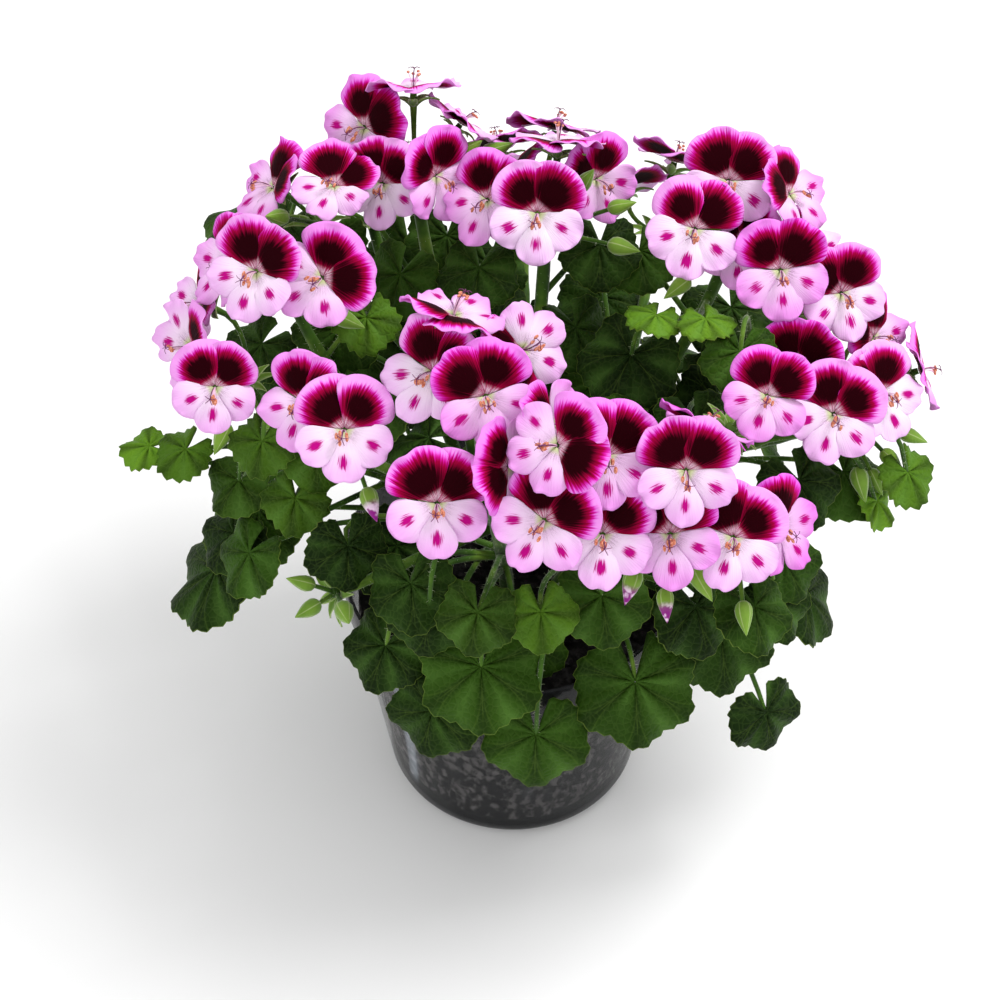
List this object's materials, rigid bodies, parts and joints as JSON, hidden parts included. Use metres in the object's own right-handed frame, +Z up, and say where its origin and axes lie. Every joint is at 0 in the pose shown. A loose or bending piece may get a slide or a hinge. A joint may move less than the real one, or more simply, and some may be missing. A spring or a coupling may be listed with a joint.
{
  "type": "potted angel pelargonium",
  "caption": "Bushy angel pelargonium in a tapered nursery pot: upright and branching leafy stems with toothed round leaves, carrying domed heads of two-toned blooms.",
  "frame": {"origin": "centre of the flat underside of the pot, on the surface that it stands on", "axes": "+Z up along the pot's axis; -Y towards the viewer of the picture; +X to the viewer's right"},
  "size_m": [0.305, 0.2316, 0.2731],
  "materials": {
    "pot_plastic": "smoky grey, slightly see-through thin plastic, glossy",
    "compost": "dark, coarse, bark-rich potting compost, matt",
    "foliage": "green leaves, stems, sepals and buds with short pale hairs, matt",
    "petal": "soft satin petals: upper two with near-black maroon blotches edged in magenta, lower three pale pink with small magenta marks"
  },
  "bodies": {
    "root": {"pot": "pot_plastic", "soil": "compost", "leafy_stem_back": "foliage", "leafy_stem_back_left": "foliage", "leafy_stem_centre": "foliage", "leafy_stem_front": "foliage", "leafy_stem_front_right": "foliage", "leafy_stem_left": "foliage", "leafy_stem_rear_left": "foliage", "leafy_stem_right": "foliage", "leafy_stem_right_back": "foliage", "leafy_stem_right_near": "foliage", "petals_back_1": "petal", "petals_back_2": "petal", "petals_back_left_1": "petal", "petals_back_left_2": "petal", "petals_back_left_3": "petal", "petals_back_left_4": "petal", "petals_back_left_low_1": "petal", "petals_centre_1": "petal", "petals_centre_2": "petal", "petals_front_far_right_1": "petal", "petals_front_left_1": "petal", "petals_front_left_2": "petal", "petals_front_left_3": "petal", "petals_front_mid_1": "petal", "petals_front_mid_2": "petal", "petals_front_right_1": "petal", "petals_front_right_2": "petal", "petals_left_1": "petal", "petals_left_2": "petal", "petals_left_3": "petal", "petals_left_low_1": "petal", "petals_left_low_2": "petal", "petals_left_low_3": "petal", "petals_left_near_1": "petal", "petals_left_near_2": "petal", "petals_rear_1": "petal", "petals_rear_left_1": "petal", "petals_rear_right_1": "petal", "petals_rear_right_2": "petal", "petals_right_1": "petal", "petals_right_2": "petal", "petals_right_3": "petal", "petals_right_back_1": "petal", "petals_right_back_2": "petal", "petals_right_back_3": "petal", "petals_right_low_1": "petal", "petals_right_low_2": "petal", "petals_right_low_3": "petal", "petals_right_low_4": "petal", "petals_right_low_5": "petal", "petals_right_near_1": "petal"}
  },
  "joints": []
}
